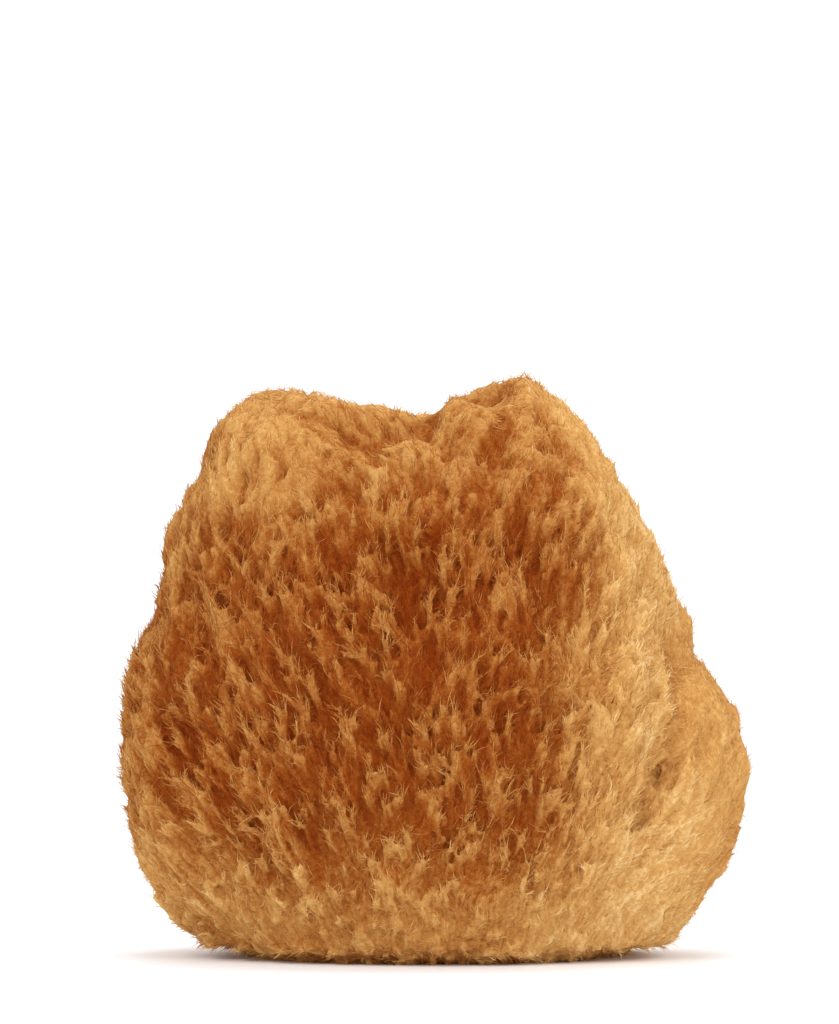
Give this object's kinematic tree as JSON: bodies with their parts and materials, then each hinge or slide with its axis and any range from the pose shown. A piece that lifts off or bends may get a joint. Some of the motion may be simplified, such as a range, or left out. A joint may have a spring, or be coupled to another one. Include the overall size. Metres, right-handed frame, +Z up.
{
  "type": "sea sponge",
  "caption": "Natural sea sponge for bathing: a soft, lobed mass of tufted honey-brown fibre with small canal mouths and a flat cut base.",
  "frame": {"origin": "middle of the bounding box from side to side and front to back, on the flat cut base", "axes": "+Z up from the cut base, +X to the right as seen from the front, the front faces -Y"},
  "size_m": [0.13, 0.086, 0.119],
  "materials": {
    "sponge_fibre": "matt, soft fibre"
  },
  "bodies": {
    "root": {"sponge": "sponge_fibre"}
  },
  "joints": []
}
